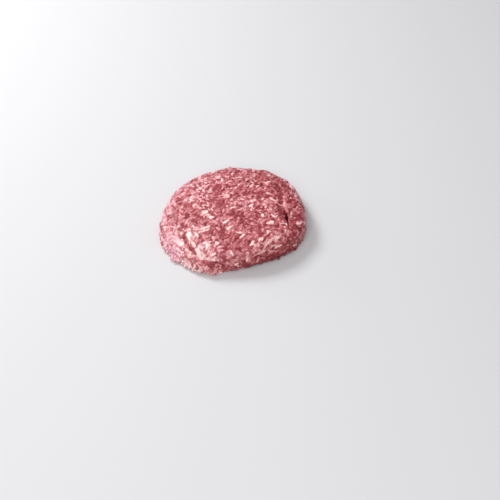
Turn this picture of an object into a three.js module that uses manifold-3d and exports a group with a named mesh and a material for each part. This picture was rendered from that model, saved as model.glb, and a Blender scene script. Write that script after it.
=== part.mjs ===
// A raw ground beef patty, pressed by hand and lying flat on a table.
// Units are millimetres, +Z is up, +X and +Y run across the patty, and the origin is on the table
// under the middle of the patty. Angles round the patty are in degrees, anticlockwise from +X.

import * as THREE from "three";
import { mergeVertices } from "three/addons/utils/BufferGeometryUtils.js";
import { SimplexNoise } from "three/addons/math/SimplexNoise.js";
import Module from "manifold-3d";

// Driving dimensions of the pressed round
const RADIUS = 52.2; // of the plain round, before its lobes
const THICKNESS = 20; // table to the crown of the top
const WAIST_HEIGHT = 8; // where the side bulges out furthest
const TUCK = 4; // how far the foot is drawn in under the waist
const TOP_FLATNESS = 0.8; // 0 is a cone, 1 a flat top
const SHOULDER_FULLNESS = 0.9; // 0 is a chamfered shoulder, 1 a square one

// Where the hand squeezed the round out of true: the angle of each lobe, half its width, its reach
const LOBES = [
  { at: 46, spread: 24, reach: 2.4 }, // back right shoulder
  { at: 108, spread: 18, reach: -1.4 }, // flat of the back edge
  { at: 208, spread: 28, reach: 6 }, // left front corner
  { at: 246, spread: 15, reach: 4 }, // front, left of its flat
  { at: 294, spread: 20, reach: -1.8 }, // flat of the front edge
  { at: 340, spread: 22, reach: 2.6 }, // right front corner
];

// The skirt at the left front, where the meat thins out into a low slope that ends on the table
const SKIRT = { at: 222, spread: 30, waistDrop: 5, tuckLoss: 3, slump: 0.2 };

// The front right rim, where the side stands upright under a squarer shoulder
const RIM = { at: 304, spread: 26, waistRise: 3.5, tuckGain: 1, flatter: 0.12, fuller: 0.1 };

// The slit on the right, between the round and the flap that was folded against it
const SLIT = { length: 26, width: 2, depth: 7, bow: -0.6, at: [39.2, -11.3], turn: 100 };
const FLAP = { at: [46, 2], length: 30, width: 8, rise: 1.2, turn: 98 };

// Creases left where handfuls of meat were pressed together: two ends, half width, depth. The last
// two have a depth below 0, so they are ridges.
const CREASES = [
  { from: [34.8, 30], to: [37.4, -3], width: 2.4, depth: 1.5 }, // beside the flap, behind the slit
  { from: [-43, -13], to: [-24, -48], width: 3, depth: 1.8 }, // along the skirt
  { from: [-40, 30], to: [-16, 40], width: 2.6, depth: 0.6 }, // at the back left
  { from: [35, -28], to: [12, -51], width: 2, depth: -0.8 }, // along the front right rim
  { from: [29, -24], to: [15, -38], width: 1.8, depth: -0.4 }, // inside that rim
];

// Minced strands that show as relief, and the slow unevenness of the pressed faces
const STRANDS = { count: 430, radius: 2.5, length: 10, wander: 35, proudTop: 1, proudSide: 2 };
const SWELL = { size: 24, height: 0.8 };

// Stretches of the rim that are torn, and how far their rags reach
const TORN = [
  { at: 222, spread: 36, reach: 1.7 },
  { at: 338, spread: 20, reach: 1.5 },
  { at: 42, spread: 14, reach: 1 },
];
const RAG_SIZE = 3.4;

// Shreds of meat that stand out of the rim: the stretch of the rim, how many, their size
const SHRED_ROWS = [
  { from: 186, to: 262, count: 24, length: 4.8, radius: 2, height: 1.2 },
  { from: 298, to: 358, count: 13, length: 5, radius: 1.6, height: 3.2 },
  { from: 24, to: 58, count: 5, length: 4.4, radius: 1.8, height: 9 },
  { from: 92, to: 96, count: 1, length: 5, radius: 1.9, height: 12.5 },
];
const FRONT_TIP = { at: 254.5, length: 11, radius: 3.6, height: 1.9 };
const SHRED_SIDES = 5;
const SHRED_TIP = 0.5; // of a shred's radius, left at its blunt end
const SHRED_FLATNESS = 0.6;
const SHRED_BARE = 0.2; // share of a shred's length that stands out of the rim

// Fineness of the skin: rings of 6, 12, 18 and so on across the top, then rows down the side
const TOP_RINGS = 28;
const SIDE_ROWS = 14;
const LEAST_LIFT = 0.2; // of the rows above the foot, so that none crosses the underside
const TOP_SHARE = 0.66; // share of the way from crown to foot that the rings take
const SEED = 41;

const radians = THREE.MathUtils.degToRad;
const { lerp, smoothstep } = THREE.MathUtils;

// A repeatable stream of numbers from 0 to 1.
function seededRandom(seed) {
  let state = seed;
  return () => {
    state = (state + 0x6d2b79f5) | 0;
    let mixed = Math.imul(state ^ (state >>> 15), 1 | state);
    mixed = (mixed + Math.imul(mixed ^ (mixed >>> 7), 61 | mixed)) ^ mixed;
    return ((mixed ^ (mixed >>> 14)) >>> 0) / 4294967296;
  };
}

const random = seededRandom(SEED);
const spread = (middle, share) => middle * (1 + share * (2 * random() - 1));
const noise = new SimplexNoise({ random });

// 1 at the middle of a lobe, falling to 0 on either side, with angles in radians.
function lobeShare(angle, { at, spread: width }) {
  const away = Math.atan2(Math.sin(angle - radians(at)), Math.cos(angle - radians(at)));
  return Math.exp(-((away / radians(width)) ** 2));
}

const outlineRadius = (angle) =>
  LOBES.reduce((reach, lobe) => reach + lobe.reach * lobeShare(angle, lobe), RADIUS);

// The upright section at an angle, as a path from the crown out to the waist and in to the foot.
function sectionAt(angle) {
  const skirt = lobeShare(angle, SKIRT);
  const rim = lobeShare(angle, RIM);
  const reach = outlineRadius(angle);
  const waist = WAIST_HEIGHT - SKIRT.waistDrop * skirt + RIM.waistRise * rim;
  const tuck = TUCK - SKIRT.tuckLoss * skirt + RIM.tuckGain * rim;
  const flat = TOP_FLATNESS - SKIRT.slump * skirt + RIM.flatter * rim;
  const full = SHOULDER_FULLNESS - SKIRT.slump * skirt + RIM.fuller * rim;
  const shoulder = lerp(waist, THICKNESS, full);
  return new THREE.Path()
    .moveTo(0, THICKNESS)
    .bezierCurveTo(flat * reach, THICKNESS, reach, shoulder, reach, waist)
    .quadraticCurveTo(reach, 0, reach - tuck, 0);
}

// The smooth skin: share runs from 0 at the crown to 1 at the foot.
function smoothSkin(angle, share) {
  const { x, y } = sectionAt(angle).getPointAt(share);
  return new THREE.Vector3(x * Math.cos(angle), x * Math.sin(angle), y);
}

// Short strands laid at random over the skin, each a straight run between two points.
function layStrands() {
  const golden = Math.PI * (3 - Math.sqrt(5));
  return Array.from({ length: STRANDS.count }, (_, i) => {
    const angle = i * golden;
    const share = Math.sqrt((i + 0.5) / STRANDS.count);
    const middle = smoothSkin(angle, share);
    const heading = lerp(angle + Math.PI / 2, radians(STRANDS.wander), random() < 0.5 ? 1 : 0);
    const turned = heading + radians(STRANDS.wander) * (2 * random() - 1);
    const half = spread(STRANDS.length, 0.4) / 2;
    const along = new THREE.Vector3(Math.cos(turned), Math.sin(turned), (random() - 0.5) * 0.8 * share);
    const ends = new THREE.Line3(
      middle.clone().addScaledVector(along, -half),
      middle.clone().addScaledVector(along, half),
    );
    return { ends, radius: spread(STRANDS.radius, 0.3) };
  });
}

const strands = layStrands();
const nearest = new THREE.Vector3();

// How high the uppermost strand stands at a point: 1 on its back, 0 in the gaps between strands.
function strandRelief(point) {
  let highest = 0;
  for (const { ends, radius } of strands) {
    ends.closestPointToPoint(point, true, nearest);
    const off = nearest.distanceToSquared(point) / (radius * radius);
    if (off < 1) highest = Math.max(highest, Math.sqrt(1 - off));
  }
  return highest;
}

// 1 along a crease seen from above, 0 beyond its half width, fading out at its two ends.
function creaseShare(point, { from, to, width }) {
  const start = new THREE.Vector2(...from);
  const run = new THREE.Vector2(...to).sub(start);
  const offset = new THREE.Vector2(point.x, point.y).sub(start);
  const along = THREE.MathUtils.clamp(offset.dot(run) / run.lengthSq(), 0, 1);
  const away = offset.addScaledVector(run, -along).length();
  return Math.exp(-((away / width) ** 2)) * Math.sin(Math.PI * lerp(0.12, 0.88, along));
}

// 1 on the ridge of the folded flap, 0 away from it.
function flapShare(point) {
  const turn = radians(FLAP.turn);
  const offset = new THREE.Vector2(point.x - FLAP.at[0], point.y - FLAP.at[1]);
  offset.rotateAround(new THREE.Vector2(), -turn);
  return Math.exp(-((offset.x / FLAP.length) ** 2) - (offset.y / FLAP.width) ** 2);
}

// How far the skin stands out of the smooth one at a point, along its normal.
function relief(point, share) {
  const side = smoothstep(share, TOP_SHARE - 0.1, TOP_SHARE + 0.15);
  const proud = lerp(STRANDS.proudTop, STRANDS.proudSide, side);
  const swell = SWELL.height * noise.noise3d(...point.clone().divideScalar(SWELL.size).toArray());
  const dents = CREASES.reduce((sum, crease) => sum + crease.depth * creaseShare(point, crease), 0);
  return proud * (strandRelief(point) - 0.6) + swell + FLAP.rise * flapShare(point) - dents;
}

// How far the torn rim reaches out or in at a point near the foot.
function ragReach(point, share) {
  const angle = Math.atan2(point.y, point.x);
  const torn = TORN.reduce((sum, stretch) => sum + stretch.reach * lobeShare(angle, stretch), 0.4);
  const rag = noise.noise3d(...point.clone().divideScalar(RAG_SIZE).toArray());
  return torn * rag * smoothstep(share, 0.74, 0.9);
}

// Moves the smooth skin's points out to the rough one, with the foot kept on the table.
function roughen(skin, shares) {
  const place = skin.getAttribute("position");
  const normals = skin.getAttribute("normal");
  for (let i = 0; i < place.count; i++) {
    const point = new THREE.Vector3().fromBufferAttribute(place, i);
    const outward = new THREE.Vector3().fromBufferAttribute(normals, i);
    const fade = lerp(1, 0.3, smoothstep(shares[i], 0.9, 1));
    const moved = point.clone().addScaledVector(outward, relief(point, shares[i]) * fade);
    moved.addScaledVector(outward.setZ(0), ragReach(point, shares[i]));
    place.setXYZ(i, moved.x, moved.y, shares[i] === 1 ? 0 : Math.max(moved.z, LEAST_LIFT));
  }
}

// The closed skin: a hexagonal fan of rings on the top, rows down the side, and a flat underside.
function makeSkin() {
  const points = [smoothSkin(0, 0)];
  const shares = [0];
  const faces = [];
  const rim = 6 * TOP_RINGS;
  const addRing = (count, share) => {
    const first = points.length;
    for (let j = 0; j < count; j++) {
      points.push(smoothSkin((2 * Math.PI * j) / count, share));
      shares.push(share);
    }
    return first;
  };

  let inner = 0;
  for (let ring = 1; ring <= TOP_RINGS; ring++) {
    const outer = addRing(6 * ring, (TOP_SHARE * ring) / TOP_RINGS);
    const innerCount = Math.max(6 * (ring - 1), 1);
    for (let sector = 0; sector < 6; sector++) {
      for (let j = 0; j < ring; j++) {
        const a = inner + ((sector * (ring - 1) + j) % innerCount);
        const b = inner + ((sector * (ring - 1) + j + 1) % innerCount);
        const c = outer + sector * ring + j;
        const d = outer + ((sector * ring + j + 1) % (6 * ring));
        faces.push([a, c, d]);
        if (j < ring - 1) faces.push([a, d, b]);
      }
    }
    inner = outer;
  }

  for (let row = 1; row <= SIDE_ROWS; row++) {
    const outer = addRing(rim, lerp(TOP_SHARE, 1, row / SIDE_ROWS));
    for (let j = 0; j < rim; j++) {
      const next = (j + 1) % rim;
      faces.push([inner + j, outer + j, outer + next], [inner + j, outer + next, inner + next]);
    }
    inner = outer;
  }

  const foot = points.slice(inner).map(({ x, y }) => new THREE.Vector2(x, y));
  for (const [a, b, c] of THREE.ShapeUtils.triangulateShape(foot, [])) {
    faces.push([inner + c, inner + b, inner + a]);
  }
  const skin = new THREE.BufferGeometry().setFromPoints(points).setIndex(faces.flat());
  skin.computeVertexNormals();
  roughen(skin, shares);
  return skin;
}

// A tapered shred that points out of the rim and a little up from the table.
function makeShred({ at, length, radius, height, aside = 0 }) {
  const angle = radians(at);
  const middle = outlineRadius(angle) - length * (0.5 - SHRED_BARE);
  const shred = new THREE.CylinderGeometry(radius * SHRED_TIP, radius, length, SHRED_SIDES);
  shred.rotateZ(-Math.PI / 2 + radians(aside));
  shred.rotateZ(angle);
  shred.scale(1, 1, SHRED_FLATNESS);
  const lift = Math.max(height, radius * SHRED_FLATNESS + LEAST_LIFT);
  return shred.translate(middle * Math.cos(angle), middle * Math.sin(angle), lift);
}

function makeShreds() {
  const shreds = [makeShred(FRONT_TIP)];
  for (const row of SHRED_ROWS) {
    for (let i = 0; i < row.count; i++) {
      const at = lerp(row.from, row.to, (i + 0.2 + 0.6 * random()) / row.count);
      const aside = 30 * (2 * random() - 1);
      const [length, radius] = [spread(row.length, 0.35), spread(row.radius, 0.3)];
      shreds.push(makeShred({ at, length, radius, height: spread(row.height, 0.4), aside }));
    }
  }
  return shreds;
}

// The blade that opens the slit: a bowed lens, pointed at both ends, narrowing downwards.
function makeSlitBlade() {
  const half = SLIT.length / 2;
  const lens = new THREE.Shape()
    .moveTo(-half, 0)
    .quadraticCurveTo(0, SLIT.bow + SLIT.width, half, 0)
    .quadraticCurveTo(0, SLIT.bow - SLIT.width, -half, 0);
  const steps = { depth: THICKNESS, bevelEnabled: false, curveSegments: 12 };
  const blade = new THREE.ExtrudeGeometry(lens, steps);
  blade.rotateZ(radians(SLIT.turn));
  return blade.translate(SLIT.at[0], SLIT.at[1], THICKNESS - SLIT.depth);
}

const wasm = await Module();
wasm.setup();

// A closed geometry as a manifold-3d solid.
function toSolid(geometry) {
  const bare = geometry.clone();
  bare.deleteAttribute("normal");
  bare.deleteAttribute("uv");
  const merged = mergeVertices(bare, 1e-4);
  return new wasm.Manifold(
    new wasm.Mesh({
      numProp: 3,
      vertProperties: new Float32Array(merged.attributes.position.array),
      triVerts: new Uint32Array(merged.index.array),
    }),
  );
}

function toGeometry(solid) {
  const { vertProperties, triVerts } = solid.getMesh();
  const geometry = new THREE.BufferGeometry();
  geometry.setAttribute("position", new THREE.BufferAttribute(vertProperties, 3));
  geometry.setIndex(new THREE.BufferAttribute(triVerts, 1));
  geometry.computeVertexNormals();
  return geometry;
}

// The fused patty, slit open, with the middle of its outline over the origin.
function makePatty() {
  const fused = makeShreds().reduce((sum, shred) => sum.add(toSolid(shred)), toSolid(makeSkin()));
  const geometry = toGeometry(fused.subtract(toSolid(makeSlitBlade())));
  geometry.computeBoundingBox();
  const middle = geometry.boundingBox.getCenter(new THREE.Vector3());
  geometry.translate(-middle.x, -middle.y, 0);
  const meat = new THREE.MeshStandardMaterial({ color: 0xb9606a, roughness: 0.45, metalness: 0 });
  const patty = new THREE.Mesh(geometry, meat);
  patty.name = "ground_beef_patty";
  return patty;
}

const model = new THREE.Group();
model.add(makePatty());

export default model;
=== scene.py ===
# A raw ground beef patty, pressed by hand and lying flat. Strands of mince are laid over the packed
# solid's own skin, with crumbs of fat and threads of sinew among them, then joined to a core and
# pressed back to that skin. Ragged ends of meat and small teeth of fat stand out of its torn rim.
import json
import math

import bmesh
import bpy
import numpy as np
from mathutils import Matrix, Vector
from mathutils.bvhtree import BVHTree


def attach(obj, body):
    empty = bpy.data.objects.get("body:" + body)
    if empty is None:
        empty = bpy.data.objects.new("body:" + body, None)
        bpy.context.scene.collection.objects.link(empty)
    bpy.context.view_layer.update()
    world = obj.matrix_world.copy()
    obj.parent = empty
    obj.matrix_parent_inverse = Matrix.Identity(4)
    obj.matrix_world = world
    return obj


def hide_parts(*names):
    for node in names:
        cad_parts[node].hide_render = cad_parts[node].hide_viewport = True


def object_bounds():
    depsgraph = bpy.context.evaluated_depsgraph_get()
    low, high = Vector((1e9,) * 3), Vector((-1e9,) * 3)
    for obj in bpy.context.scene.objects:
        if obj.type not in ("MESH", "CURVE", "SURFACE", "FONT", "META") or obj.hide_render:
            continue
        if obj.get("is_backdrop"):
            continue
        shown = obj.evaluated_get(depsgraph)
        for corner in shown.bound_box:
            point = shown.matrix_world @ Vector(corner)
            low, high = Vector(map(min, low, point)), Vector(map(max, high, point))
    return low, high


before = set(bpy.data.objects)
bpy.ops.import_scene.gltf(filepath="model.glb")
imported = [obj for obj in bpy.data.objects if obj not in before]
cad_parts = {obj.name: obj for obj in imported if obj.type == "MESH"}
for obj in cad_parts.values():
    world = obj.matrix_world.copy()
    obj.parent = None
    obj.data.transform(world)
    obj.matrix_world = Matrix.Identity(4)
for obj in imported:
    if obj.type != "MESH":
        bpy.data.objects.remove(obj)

CAD_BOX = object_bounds()
NODE = "ground_beef_patty"
MM = 0.001
SEED = 7

# The camera: the point of the table at the middle of the picture, and where the lens stands from it
PICTURE_PIXELS = 500
SENSOR_MM = 36.0
LENS_MM = 86.0
AIM_MM = (13.0, -27.0, 0.0)
CAMERA_DISTANCE_MM = 889.1
CAMERA_AZIMUTH = 1.64
CAMERA_ELEVATION = 43.16
CAMERA_ROLL = -2.4
RAY_STEPS_MM = (780, 1000, 0.5)  # from the lens: where a pixel's way is searched beside the patty
LOWEST_IN_AIR_MM = 0.5  # over the table

# The smoothed skin that strands follow, and the core that carries them
SKIN_VOXEL_MM = 1.0
SKIN_SMOOTHING = 8
CORE_VOXEL_MM = 0.8
CORE_SMOOTHING = 3
CORE_DEPTH_MM = 1.25
CORE_BESIDE_SLIT_MM = (2.5, 5)  # from the slit: where its margin turns into the core's depth
# as fine as the piece's number of triangles allows
MEAT_VOXEL_MM = 0.48  # the voxel size at which the strands and the core are joined
MEAT_SMOOTHING = 2
CAVITY_SMOOTHING = 12
COLOUR_SMOOTHING = 1
UNDERSIDE_SHARE = 0.62  # of the faces, those that stay once the flat underside is thinned out
FACING_DOWN = -0.5  # the upward part of a normal, below which it belongs to the underside

# Strands of mince, which follow the grain or lie across it, and dive under the skin and rise again
STRAND_COUNT = 2400
STRAND_RADIUS_MM = (0.8, 1.7)
STRAND_LENGTH_MM = (4.0, 13.0)
STRAND_RINGS = 7
STRAND_SIDES = 8
STRAND_LOWEST_MM = 0.6
STRAND_BEND = 0.16  # the spread of its bend sideways, from ring to ring
STRAND_RISE = 0.5  # how steeply it may start
STRAND_DIVE = (0.7, 0.4)  # a strand's mean depth and its swing, as shares of its radius
STRAND_DIVE_RATE = (0.5, 1.1)
STRAND_FLATNESS = 0.85
GRAIN_HEADING = 60.0  # degrees from +X
GRAIN_SHARE_LEFT = 0.8  # of the strands left of the middle, those along the grain
GRAIN_SHARE_RIGHT = 0.45
GRAIN_SPREAD = 0.28  # in radians
GRAIN_TURNS = [((186, 246), 17, 75.0)]  # where the grain turns: pixel, radius in mm, degrees

# How far the pressed meat may stand over the smoothed skin or sink under it, on top and at the side
PROUD_TOP_MM = 0.2
PROUD_SIDE_MM = 0.3
PROUD_TORN_MM = 0.7
SUNK_TOP_MM = 0.4
SUNK_SIDE_MM = 0.6
SUNK_TORN_MM = 1.2
TOP_SLOPES = (0.55, 0.92)  # the upward part of a normal, from the side's to the top's

# The slit on the right, which no strand crosses, with a lip of meat along each side
SLIT_MIDDLE_MM = (39.8, -8.4)
SLIT_TURN = 100.0  # degrees from +X
SLIT_HALF_LENGTH_MM = 14.6
SLIT_BOW_MM = -0.3
SLIT_GAP_MM = 0.9  # kept free of strands
SLIT_MARGIN_MM = 0.3  # the core's depth beside it
SLIT_DEPTH_MM = 3.4
SLIT_REACH_MM = 0.8  # half the width of the cut
SLIT_LOWEST_MM = 8.0  # nothing is cut below this height
SLIT_LIPS = [(-1, 1.1, 0.9), (-1, 3.0, 1.2), (1, 1.1, 0.8), (1, 3.0, 1.2)]  # side, offset, radius
SLIT_LIP_ENDS = 1.05
SLIT_LIP_DEPTH = 0.6  # of the lip's radius
OVER_PATTY_MM = 30.0  # a height over the whole patty

# How fat a strand is, from 0 for dark lean to 1 for white fat, by the luck of the draw
LUCK = (0.0, 0.30, 0.46, 0.60, 0.86, 0.94, 1.0)
FATNESS = (0.10, 0.26, 0.36, 0.50, 0.66, 0.82, 1.0)
SAME_MEAT = 0.5  # how often one length of a strand is the same meat as the one before
LEAN_FATNESS = 0.2  # of the streaks of lean
WHITE_FATNESS = 1.0  # of the streaks of fat

# Where the meat is paler or leaner than elsewhere, some of it as painted shade: pixel, radius in mm,
# and the shift in luck
TONES_AND_PAINTED_SHADE = [
    ((170, 229), 8, 0.26),
    ((174, 248), 9, 0.30),
    ((188, 266), 10, 0.28),
    ((206, 250), 9, 0.24),
    ((197, 190), 12, 0.12),
    ((168, 200), 9, 0.2),
    ((262, 242), 10, 0.20),
    ((272, 236), 8, 0.10),
    ((198, 262), 7, 0.10),
    ((232, 192), 5, 0.10),
    ((182, 214), 8, -0.12),
    ((214, 238), 9, -0.14),
    ((216, 190), 7, -0.20),
    ((296, 228), 8, -0.20),
    ((262, 216), 7, -0.14),
    ((219, 204), 8, -0.24),
    ((247, 193), 8, -0.16),
    ((236, 216), 8, -0.24),
    ((216, 230), 7, -0.14),
    ((244, 222), 7, -0.18),
    ((262, 178), 11, -0.26),
    ((282, 196), 8, -0.34),
    ((284, 214), 7, -0.32),
    ((298, 212), 7, -0.28),
    # Painted shade: leaner, darker meat along the foot of the front right
    ((262, 262), 14, -0.28),
    ((250, 267), 5, -0.30),
    ((262, 264), 5, -0.34),
    ((274, 260), 5, -0.34),
    ((286, 254), 5, -0.34),
    ((297, 246), 5, -0.30),
    ((288, 250), 12, -0.26),
    ((264, 250), 6, 0.20),
    ((278, 244), 6, 0.10),
    ((246, 252), 5, 0.20),
    ((282, 182), 8, -0.24),
    ((257, 229), 6, -0.22),
    ((233, 241), 6, -0.16),
    ((163, 235), 4, -0.40),
    ((181, 230), 5, 0.36),
    ((185, 220), 4, -0.20),
    ((193, 246), 4, 0.40),
    ((191, 262), 4, 0.40),
    ((221, 262), 4, 0.22),
    ((234, 259), 5, 0.26),
    ((229, 266), 5, -0.32),
    ((237, 253), 3, -0.30),
    ((227, 251), 4, -0.34),
    ((242, 246), 5, -0.34),
    ((254, 243), 3, -0.15),
    ((273, 238), 4, -0.18),
    ((284, 203), 5, -0.40),
    ((285, 194), 4, -0.24),
    ((275, 214), 4, -0.22),
    # Painted shade: leaner, darker meat on the right rim, against the light that falls there
    ((304, 236), 6, -0.30),
    ((290, 226), 5, 0.24),
    ((269, 218), 4, 0.22),
    ((252, 198), 4, 0.24),
    ((266, 174), 4, 0.34),
    ((262, 188), 4, 0.24),
    ((234, 189), 4, 0.18),
    ((204, 204), 5, 0.18),
    ((203, 217), 4, 0.14),
    ((193, 191), 5, -0.18),
    ((217, 178), 4, -0.16),
    ((232, 173), 4, -0.16),
    ((251, 174), 4, -0.14),
    ((167, 213), 4, 0.24),
    ((259, 230), 4, 0.18),
    ((246, 235), 4, -0.22),
]

# Where the meat is browner, above 0, or more lilac, below 0: pixel, radius in mm, and how much. At the
# foot of the front right the brown is partly a juice stain and partly painted shade.
TINTS_AND_SHADE = [
    ((172, 252), 9, -1.0),
    ((166, 238), 7, -0.7),
    ((163, 216), 9, -0.5),
    ((184, 184), 16, -0.35),
    ((186, 268), 8, -0.6),
    ((190, 258), 6, 0.6),
    # Partly a juice stain and partly painted shade: the foot of the front right made browner and darker
    ((262, 262), 14, 0.8),
    ((250, 269), 5, 0.9),
    ((266, 265), 5, 0.9),
    ((280, 260), 5, 0.9),
    ((290, 252), 12, 1.0),
    ((293, 252), 5, 0.6),
    ((300, 236), 8, 0.6),
    ((264, 177), 9, 0.5),
    ((282, 188), 9, 0.9),
    ((292, 206), 8, 0.6),
]

# The thin film of fat that covers the lilac places: how fat it is, how much it hides of the colours
# under it, and how much of their relief
FILM_FATNESS = 0.74
FILM_HIDES = 0.55
FILM_EVENS = 0.6

# Lean that shows: from one pixel of the 500 by 500 picture to another, and the width in mm
LEAN_STREAKS = [
    ((183.4, 234.6), (187.4, 244.6), 3.8),
    ((187.4, 244.6), (197.0, 254.8), 2.8),
    ((203.4, 234.2), (212.4, 231.4), 2.6),
    ((203.0, 262.0), (214.6, 266.4), 3.0),
    ((226.0, 214.0), (238.0, 217.0), 3.4),
    ((240.0, 219.0), (246.0, 224.0), 3.0),
    ((261.8, 247.4), (264.4, 246.2), 1.4),
    ((216.0, 203.0), (222.0, 205.6), 3.6),
    ((262.6, 238.8), (266.0, 239.6), 2.0),
]

# Fat that shows, likewise
FAT_STREAKS = [
    ((202.2, 212.4), (207.8, 211.6), 3.6),
    ((209.1, 217.0), (214.0, 217.9), 2.2),
    ((223.6, 223.6), (228.2, 219.8), 2.4),
    ((226.8, 229.6), (231.6, 226.0), 2.0),
    ((237.4, 232.6), (242.2, 233.0), 1.8),
    ((239.6, 238.2), (244.4, 234.2), 1.5),
    ((265.6, 223.6), (273.6, 221.4), 2.3),
    ((281.6, 223.0), (286.8, 224.4), 1.4),
    ((226.0, 195.0), (229.4, 196.0), 1.9),
    ((224.8, 206.4), (227.6, 206.2), 1.6),
    ((229.4, 209.2), (235.6, 205.8), 1.2),
    ((207.4, 192.9), (212.0, 189.4), 2.2),
    ((197.0, 190.8), (205.4, 184.8), 1.4),
    ((206.8, 185.8), (210.4, 184.2), 1.2),
    ((215.4, 179.4), (220.4, 176.0), 1.7),
    ((199.6, 182.6), (206.4, 180.4), 1.8),
    ((250.0, 186.8), (253.6, 183.6), 1.4),
    ((256.4, 187.3), (258.8, 185.4), 1.4),
    ((253.9, 175.9), (255.9, 175.5), 1.4),
    ((264.8, 183.0), (271.0, 181.2), 1.8),
    ((238.0, 184.8), (240.0, 184.0), 1.2),
    ((261.8, 200.4), (263.2, 197.0), 1.3),
    ((262.2, 203.8), (266.0, 205.2), 1.6),
    ((269.8, 198.0), (275.4, 201.0), 1.8),
    ((250.2, 205.8), (253.6, 204.2), 2.0),
    ((249.8, 210.8), (251.6, 208.4), 1.2),
    ((253.0, 213.2), (255.6, 214.4), 1.2),
    ((262.4, 213.8), (263.2, 216.8), 2.2),
    ((271.0, 214.6), (275.8, 217.0), 1.4),
    ((173.6, 235.8), (178.6, 241.0), 2.6),
    ((177.8, 240.6), (182.4, 246.0), 3.8),
    ((175.2, 247.4), (182.8, 253.0), 1.9),
    ((192.6, 242.6), (195.8, 246.8), 2.2),
    ((196.4, 248.4), (199.8, 254.8), 3.6),
    ((187.4, 232.2), (191.6, 236.4), 3.2),
    ((195.6, 232.6), (198.6, 237.2), 2.0),
    ((203.0, 243.8), (207.4, 241.8), 1.5),
    ((215.4, 241.8), (219.6, 244.4), 2.2),
    ((198.8, 230.0), (210.4, 226.0), 1.3),
    ((200.8, 232.0), (209.2, 228.6), 0.9),
    ((205.8, 250.0), (210.8, 243.4), 1.0),
    ((208.4, 249.0), (213.9, 245.4), 1.0),
    ((212.0, 255.6), (216.4, 252.6), 1.8),
    ((230.4, 250.0), (232.8, 256.0), 1.6),
    ((183.4, 265.6), (191.0, 263.2), 1.8),
    ((190.4, 269.0), (200.2, 271.2), 1.5),
    ((171.0, 260.2), (176.8, 258.0), 1.8),
    ((250.4, 246.6), (253.6, 240.6), 1.5),
    ((276.0, 246.6), (282.2, 244.6), 1.6),
    ((257.0, 262.4), (259.9, 257.6), 0.9),
    ((234.6, 265.6), (238.4, 263.6), 1.3),
    ((246.0, 262.5), (248.0, 257.5), 1.1),
    ((251.5, 261.5), (252.5, 258.5), 1.0),
    ((270.4, 255.6), (272.0, 252.6), 1.0),
    ((283.6, 252.4), (285.6, 249.4), 1.0),
    ((293.6, 246.0), (296.8, 243.4), 1.1),
    ((298.0, 224.4), (302.4, 221.8), 1.4),
]

STREAK_DEPTH = 0.02  # of a streak's or ridge's width, from the skin down to its middle

# Ridges that stand up from the pressed meat: pixels along each, width in mm, and how fat it is
RIDGES = [
    ([(252.5, 257.1), (261.4, 250.9), (266.8, 244.6), (273.9, 238.0), (277.9, 233.5)], 1.7, 0.78),
    ([(259.2, 241.5), (263.5, 237.6), (267.7, 234.0), (271.2, 230.8)], 1.1, 0.72),
    ([(284.6, 199.0), (285.8, 204.0), (287.2, 209.0), (289.2, 214.5), (291.4, 220.0)], 1.1, 0.56),
    ([(288.8, 208.8), (292.6, 206.2), (296.4, 202.7), (297.1, 197.3)], 1.0, 0.66),
    ([(185.6, 234.4), (190.7, 240.5), (194.3, 245.1)], 1.7, 0.92),
    ([(187.1, 251.3), (192.9, 254.5), (197.9, 256.3), (201.0, 256.7)], 1.1, 0.86),
    ([(283.4, 180.2), (285.2, 180.8), (286.4, 182.0)], 3.2, 0.74),
    ([(289.4, 184.6), (291.4, 186.8), (293.0, 190.0)], 3.4, 0.88),
]

# Flakes that stand out of the rim: from a pixel of the meat to one beside it, width in mm, fatness
FLAKES = [
    ((290.6, 188.0), (289.0, 182.6), 1.6, 0.86),
    ((231.4, 171.6), (228.8, 166.8), 3.6, 0.62),
    ((208.0, 267.4), (211.6, 274.8), 4.2, 0.62),
    ((217.4, 267.4), (212.6, 274.8), 4.2, 0.55),
    ((217.0, 270.8), (212.6, 275.2), 2.2, 0.95),
    ((167.6, 245.2), (163.6, 246.8), 1.4, 0.95),
    ((167.8, 247.6), (163.8, 250.4), 1.4, 0.95),
    ((173.4, 255.0), (170.4, 260.2), 3.0, 0.80),
    ((176.0, 257.4), (173.2, 262.4), 2.6, 0.84),
    ((179.4, 258.4), (177.2, 263.2), 2.8, 0.80),
    ((183.0, 260.8), (181.4, 265.2), 2.4, 0.90),
    ((187.0, 263.6), (184.2, 268.0), 2.8, 0.92),
    ((190.8, 265.2), (188.0, 269.6), 2.4, 0.92),
    ((195.0, 266.2), (192.6, 271.0), 2.8, 0.86),
    ((200.6, 267.2), (199.8, 272.4), 2.4, 0.90),
    ((206.4, 268.0), (205.0, 273.0), 2.6, 0.76),
]
FLAKE_FLATNESS = 0.6

# Stretches of the torn rim: from one angle to another, turned from +X, how many rags, their length,
# width and height over the table in mm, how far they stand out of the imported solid, and how much
# fatter they are than the meat behind them
RAG_ROWS = [
    (180, 262, 130, 4.6, 1.7, 0.9, 0.0, 0.28),
    (262, 296, 26, 3.6, 1.6, 0.9, 0.0, 0.0),
    (296, 366, 60, 4.2, 1.9, 2.4, 0.1, 0.0),
    (300, 352, 22, 4.4, 3.4, 2.6, 0.7, 0.0),
    (320, 366, 30, 3.8, 2.4, 6.0, 0.4, 0.05),
    (30, 66, 16, 3.6, 2.0, 9.0, 0.2, 0.1),
]
TORN_FADE = 14.0  # degrees over which the torn rim turns into the smooth one
RAG_HEIGHTS = (0.5, 1.7)  # as shares of the row's height
RAG_TURN = 0.5  # the spread of its turn from straight out, in radians
RAG_TILT = 0.2
RAG_REACH_MM = 0.5  # how much further or less far one may stand out
RAG_SWAY = (0.1, 0.05)  # sideways and outward, as shares of a rag's or flake's length

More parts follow.
